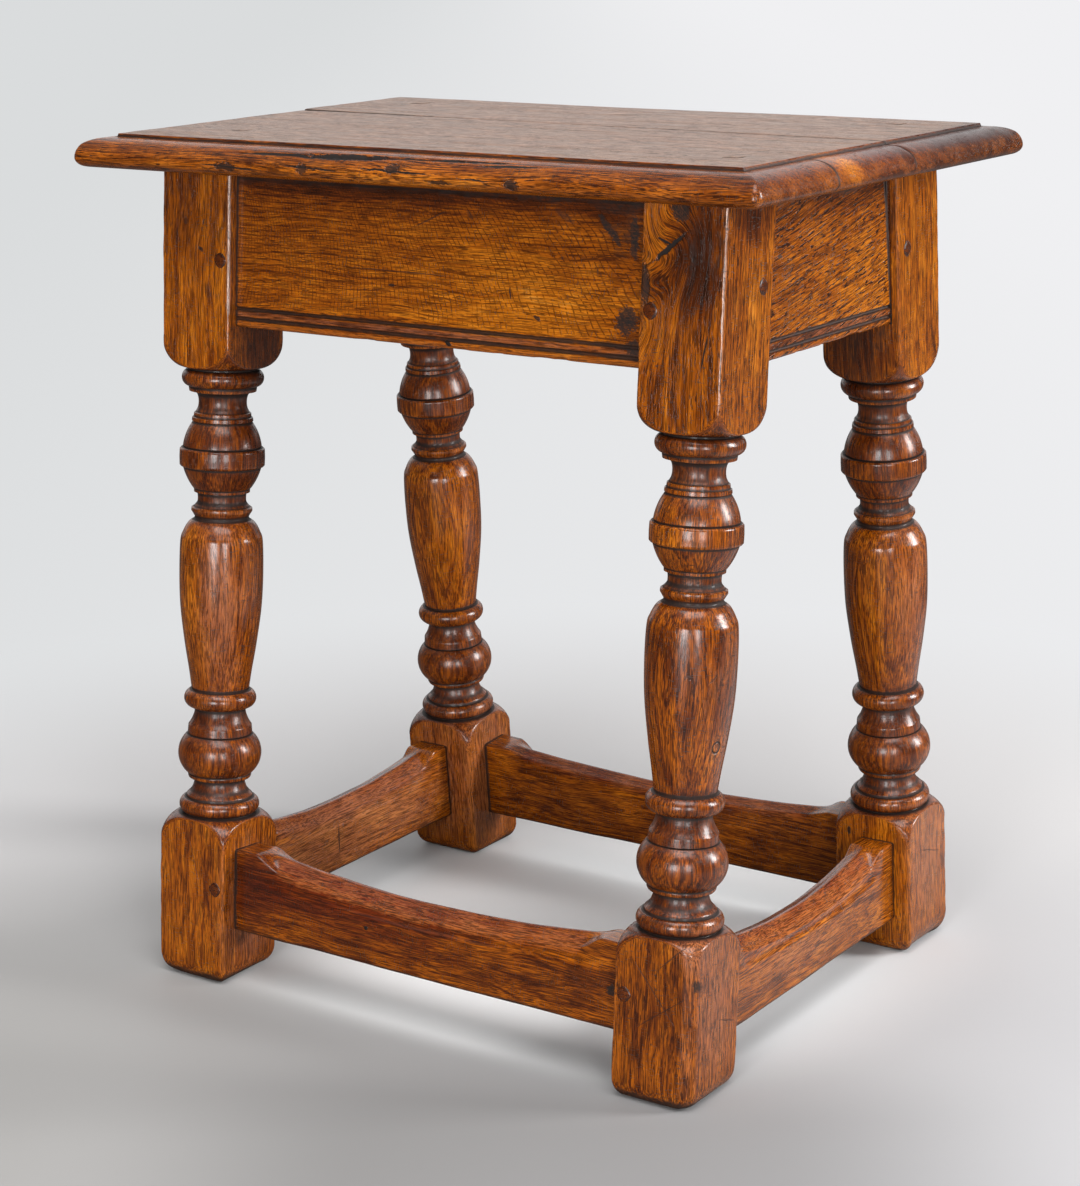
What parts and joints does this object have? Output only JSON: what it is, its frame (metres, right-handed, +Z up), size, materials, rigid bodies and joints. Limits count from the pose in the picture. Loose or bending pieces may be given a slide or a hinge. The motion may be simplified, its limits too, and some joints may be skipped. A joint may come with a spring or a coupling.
{
  "type": "joint stool",
  "caption": "Pegged oak joint stool: moulded rectangular seat on splayed turned legs, with grooved aprons and low stretchers worn hollow on top.",
  "frame": {"origin": "on the floor, midway between the four feet", "axes": "+X along the seat's long side, +Y from the front to the back, +Z up"},
  "size_m": [0.4648, 0.3212, 0.5183],
  "materials": {
    "seat_oak": "old wax, rubbed dull on the top",
    "leg_oak": "waxed and polished",
    "rail_oak": "waxed and polished",
    "peg_oak": "dark oak"
  },
  "bodies": {
    "root": {"apron_back": "rail_oak", "apron_front": "rail_oak", "apron_left": "rail_oak", "apron_right": "rail_oak", "apron_right_slip": "rail_oak", "leg_back_left": "leg_oak", "leg_back_right": "leg_oak", "leg_front_left": "leg_oak", "leg_front_right": "leg_oak", "pegs_apron_back": "peg_oak", "pegs_apron_front": "peg_oak", "pegs_apron_left": "peg_oak", "pegs_apron_right": "peg_oak", "pegs_stretcher_back": "peg_oak", "pegs_stretcher_front": "peg_oak", "pegs_stretcher_left": "peg_oak", "pegs_stretcher_right": "peg_oak", "seat_back_board": "seat_oak", "seat_end_patch": "seat_oak", "seat_front_board": "seat_oak", "seat_pegs": "peg_oak", "stretcher_back": "rail_oak", "stretcher_front": "rail_oak", "stretcher_left": "rail_oak", "stretcher_right": "rail_oak"}
  },
  "joints": []
}
